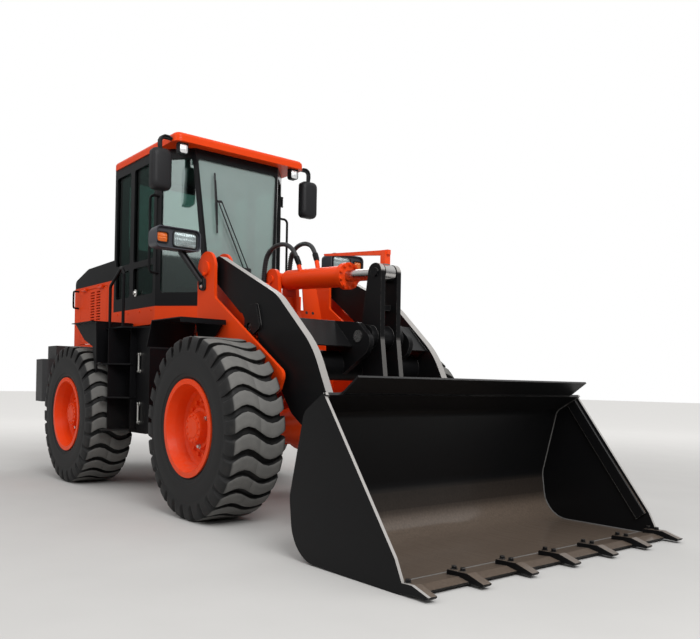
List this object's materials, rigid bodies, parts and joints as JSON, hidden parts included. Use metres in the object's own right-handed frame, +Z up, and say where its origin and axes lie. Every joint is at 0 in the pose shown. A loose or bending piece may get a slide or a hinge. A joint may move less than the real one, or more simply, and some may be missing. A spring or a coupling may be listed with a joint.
{
  "type": "articulated wheel loader",
  "caption": "Articulated wheel loader with a toothed bucket on lift arms, a glazed cab with an opening door, and an engine hood with side doors.",
  "frame": {"origin": "on the ground, under the middle of the machine's length, on its centre plane", "axes": "+X forward over the bucket, +Y to the machine's left, +Z up"},
  "size_m": [6.716, 2.4, 3.235],
  "materials": {
    "orange_paint": "gloss orange enamel",
    "black_paint": "satin black enamel",
    "working_black": "satin black enamel, scuffed at the edges",
    "tyre_rubber": "matt tread rubber",
    "rim_orange": "gloss orange enamel",
    "tinted_glass": "clear safety glass, light green tint",
    "pin_steel": "greased steel",
    "cast_black": "painted casting",
    "engine_grey": "painted casting",
    "seat_fabric": "woven seat cloth",
    "cab_plastic": "grained moulding",
    "hose_rubber": "smooth hydraulic hose",
    "lamp_black": "lamp housings"
  },
  "bodies": {
    "rear_half": {"rear_frame": "black_paint", "rear_axle": "orange_paint", "counterweight": "cast_black", "engine_block": "engine_grey", "hood_body": "orange_paint", "hood_top": "black_paint", "cab_frame": "black_paint", "cab_skirt": "orange_paint", "cab_roof": "orange_paint", "cab_glass": "tinted_glass", "seat": "seat_fabric", "console": "cab_plastic", "rear_fenders": "black_paint", "side_tanks": "black_paint", "steps_and_rails": "black_paint", "mirrors": "lamp_black", "lamps": "lamp_black"},
    "front_half": {"front_frame": "orange_paint", "front_axle": "orange_paint", "front_fenders": "black_paint", "headlamps": "lamp_black"},
    "cab_door": {"door_left": "black_paint", "door_left_glass": "tinted_glass"},
    "hood_door_right": {"engine_door_right": "orange_paint"},
    "hood_door_left": {"engine_door_left": "orange_paint"},
    "wheel_front_right": {"tyre_front_right": "tyre_rubber", "rim_front_right": "rim_orange"},
    "wheel_front_left": {"tyre_front_left": "tyre_rubber", "rim_front_left": "rim_orange"},
    "wheel_rear_right": {"tyre_rear_right": "tyre_rubber", "rim_rear_right": "rim_orange"},
    "wheel_rear_left": {"tyre_rear_left": "tyre_rubber", "rim_rear_left": "rim_orange"},
    "lift_arms": {"arm_plates": "working_black", "arm_cross": "working_black", "crank_pin": "pin_steel"},
    "lift_cylinder_barrels": {"lift_barrels": "orange_paint"},
    "lift_cylinder_rods": {"lift_rods": "pin_steel"},
    "tilt_cylinder_barrel": {"tilt_barrel": "orange_paint", "tilt_hoses": "hose_rubber"},
    "tilt_cylinder_sleeve": {"tilt_sleeve": "pin_steel"},
    "tilt_cylinder_rod": {"tilt_rod": "pin_steel"},
    "bellcrank_lever": {"bellcrank": "working_black"},
    "bucket_shell": {"bucket": "working_black", "bucket_pins": "pin_steel", "link_pin": "pin_steel"},
    "bucket_link": {"tilt_link": "working_black"},
    "steering_barrel_right": {"steer_barrel_right": "black_paint"},
    "steering_rod_right": {"steer_rod_right": "pin_steel"},
    "steering_barrel_left": {"steer_barrel_left": "black_paint"},
    "steering_rod_left": {"steer_rod_left": "pin_steel"}
  },
  "joints": [
    {"name": "steer", "type": "hinge", "parent": "rear_half", "child": "front_half", "pos_m": [-0.45, 0, 0.8], "axis": [0, 0, 1], "range_deg": [-38, 38]},
    {"name": "wheel_spin_front_right", "type": "hinge", "parent": "front_half", "child": "wheel_front_right", "pos_m": [0.825, -0.93, 0.672], "axis": [0, 1, 0], "continuous": true},
    {"name": "wheel_spin_front_left", "type": "hinge", "parent": "front_half", "child": "wheel_front_left", "pos_m": [0.825, 0.93, 0.672], "axis": [0, 1, 0], "continuous": true},
    {"name": "wheel_spin_rear_right", "type": "hinge", "parent": "rear_half", "child": "wheel_rear_right", "pos_m": [-1.725, -0.93, 0.672], "axis": [0, 1, 0], "continuous": true},
    {"name": "wheel_spin_rear_left", "type": "hinge", "parent": "rear_half", "child": "wheel_rear_left", "pos_m": [-1.725, 0.93, 0.672], "axis": [0, 1, 0], "continuous": true},
    {"name": "arm_lift", "type": "hinge", "parent": "front_half", "child": "lift_arms", "pos_m": [0.228, 0, 1.95], "axis": [0, -1, 0], "range_deg": [0, 84]},
    {"name": "bucket_tilt", "type": "hinge", "parent": "lift_arms", "child": "bucket_shell", "pos_m": [2.035, 0, 0.32], "axis": [0, 1, 0], "range_deg": [-40, 112]},
    {"name": "bellcrank_swing", "type": "hinge", "parent": "lift_arms", "child": "bellcrank_lever", "pos_m": [1.644, 0, 1.361], "axis": [0, -1, 0], "range_deg": [-8, 21]},
    {"name": "link_swing", "type": "hinge", "parent": "bucket_shell", "child": "bucket_link", "pos_m": [2.167, 0, 0.477], "axis": [0, -1, 0], "range_deg": [-22, 60]},
    {"name": "tilt_barrel_swing", "type": "hinge", "parent": "front_half", "child": "tilt_cylinder_barrel", "pos_m": [0.34, 0, 1.908], "axis": [0, -1, 0], "range_deg": [0, 90]},
    {"name": "tilt_sleeve_slide", "type": "slide", "parent": "tilt_cylinder_barrel", "child": "tilt_cylinder_sleeve", "axis": [0.9984, 0, -0.0565], "range_m": [0, 0.14]},
    {"name": "tilt_rod_slide", "type": "slide", "parent": "tilt_cylinder_sleeve", "child": "tilt_cylinder_rod", "axis": [0.9984, 0, -0.0565], "range_m": [-0.175, 0.065]},
    {"name": "lift_barrel_swing", "type": "hinge", "parent": "front_half", "child": "lift_cylinder_barrels", "pos_m": [0.035, 0, 0.72], "axis": [0, -1, 0], "range_deg": [0, 30]},
    {"name": "lift_rod_slide", "type": "slide", "parent": "lift_cylinder_barrels", "child": "lift_cylinder_rods", "axis": [0.7454, 0, 0.6667], "range_m": [0, 0.9]},
    {"name": "steer_barrel_swing_right", "type": "hinge", "parent": "rear_half", "child": "steering_barrel_right", "pos_m": [-1.15, -0.265, 0.64], "axis": [0, 0, 1], "range_deg": [-7, 7]},
    {"name": "steer_rod_slide_right", "type": "slide", "parent": "steering_barrel_right", "child": "steering_rod_right", "axis": [0.9965, -0.083, 0], "range_m": [-0.22, 0.22]},
    {"name": "steer_barrel_swing_left", "type": "hinge", "parent": "rear_half", "child": "steering_barrel_left", "pos_m": [-1.15, 0.265, 0.64], "axis": [0, 0, 1], "range_deg": [-7, 7]},
    {"name": "steer_rod_slide_left", "type": "slide", "parent": "steering_barrel_left", "child": "steering_rod_left", "axis": [0.9965, 0.083, 0], "range_m": [-0.22, 0.22]},
    {"name": "cab_door_swing", "type": "hinge", "parent": "rear_half", "child": "cab_door", "pos_m": [-0.722, 0.706, 2.42], "axis": [0, 0, 1], "range_deg": [-85, 0]},
    {"name": "hood_door_right_lift", "type": "hinge", "parent": "rear_half", "child": "hood_door_right", "pos_m": [-2.7, -0.538, 2.052], "axis": [1, 0, 0], "range_deg": [-70, 0]},
    {"name": "hood_door_left_lift", "type": "hinge", "parent": "rear_half", "child": "hood_door_left", "pos_m": [-2.7, 0.538, 2.052], "axis": [1, 0, 0], "range_deg": [0, 70]}
  ],
  "couplings": [
    {"joint": "bellcrank_swing", "follows": "bucket_tilt", "ratio": 0.17787},
    {"joint": "link_swing", "follows": "bucket_tilt", "ratio": 0.51083},
    {"joint": "tilt_barrel_swing", "follows": "arm_lift", "ratio": 1.0441},
    {"joint": "tilt_sleeve_slide", "follows": "arm_lift", "m_per_rad": 0.08953},
    {"joint": "tilt_rod_slide", "follows": "bucket_tilt", "m_per_rad": -0.08406},
    {"joint": "lift_barrel_swing", "follows": "arm_lift", "ratio": 0.29298},
    {"joint": "lift_rod_slide", "follows": "arm_lift", "m_per_rad": 0.60347},
    {"joint": "steer_barrel_swing_right", "follows": "steer", "ratio": 0.15299},
    {"joint": "steer_rod_slide_right", "follows": "steer", "m_per_rad": 0.30979},
    {"joint": "steer_barrel_swing_left", "follows": "steer", "ratio": 0.15299},
    {"joint": "steer_rod_slide_left", "follows": "steer", "m_per_rad": -0.30979}
  ]
}
